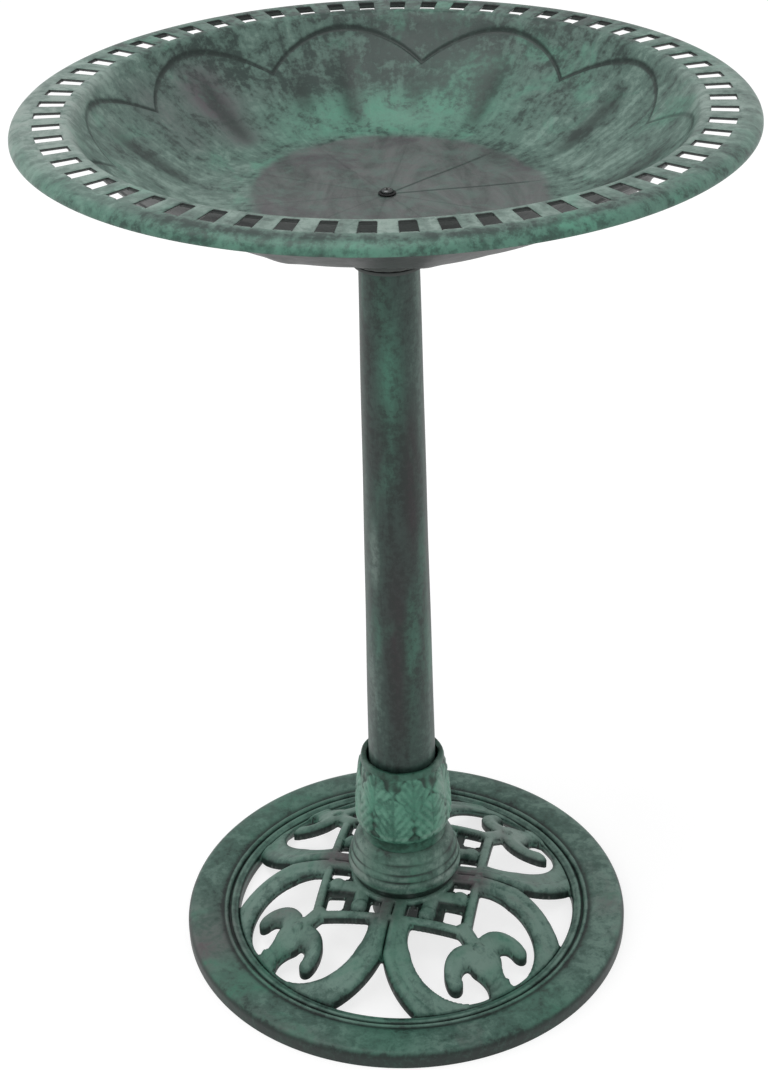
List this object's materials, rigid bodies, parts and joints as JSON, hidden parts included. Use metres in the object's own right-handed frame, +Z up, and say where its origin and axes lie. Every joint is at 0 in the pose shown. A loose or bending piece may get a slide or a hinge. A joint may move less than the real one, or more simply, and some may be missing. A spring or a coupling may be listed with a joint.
{
  "type": "pedestal bird bath",
  "caption": "Pedestal bird bath: petalled basin with a pierced rim, tapered post, leaf collar, bell foot and an openwork ring base with lily motifs.",
  "frame": {"origin": "on the ground at the middle of the base ring", "axes": "+Z up the post; a bar of the basin's pierced rim is centred on -Y, the front"},
  "size_m": [0.5078, 0.5078, 0.715],
  "materials": {
    "basin_resin": "outdoor resin, brushed verdigris paint over dark bronze, semi-gloss",
    "post_resin": "dark green resin with brown-black streaks, semi-gloss",
    "collar_resin": "bright verdigris resin with leaf relief, satin",
    "foot_resin": "verdigris resin, satin",
    "base_resin": "brushed verdigris paint over dark bronze, satin",
    "dark_resin": "unpainted dark moulded resin",
    "rubber": "black soft rubber",
    "zinc_steel": "zinc-plated steel"
  },
  "bodies": {
    "stand": {"base_grille": "base_resin", "bell_foot": "foot_resin", "leaf_collar": "collar_resin", "foot_screw_1": "zinc_steel", "foot_screw_2": "zinc_steel", "foot_screw_3": "zinc_steel", "foot_screw_4": "zinc_steel", "foot_washer_1": "zinc_steel", "foot_washer_2": "zinc_steel", "foot_washer_3": "zinc_steel", "foot_washer_4": "zinc_steel"},
    "post": {"post": "post_resin", "post_plug": "dark_resin"},
    "seat": {"seat_washer": "rubber"},
    "basin": {"basin": "basin_resin", "basin_socket": "dark_resin", "centre_bolt": "zinc_steel", "bolt_seal": "rubber", "bolt_washer": "zinc_steel", "bolt_nut": "zinc_steel"}
  },
  "joints": [
    {"name": "post_lift", "type": "slide", "parent": "stand", "child": "post", "axis": [0, 0, 1], "range_m": [0, 0.095]},
    {"name": "basin_lift", "type": "slide", "parent": "post", "child": "seat", "axis": [0, 0, 1], "range_m": [0, 0.016]},
    {"name": "basin_twist", "type": "hinge", "parent": "seat", "child": "basin", "pos_m": [0, 0, 0.6], "axis": [0, 0, 1], "range_deg": [0, 720]}
  ],
  "couplings": [
    {"joint": "basin_lift", "follows": "basin_twist", "m_per_rad": 0.0012732}
  ]
}
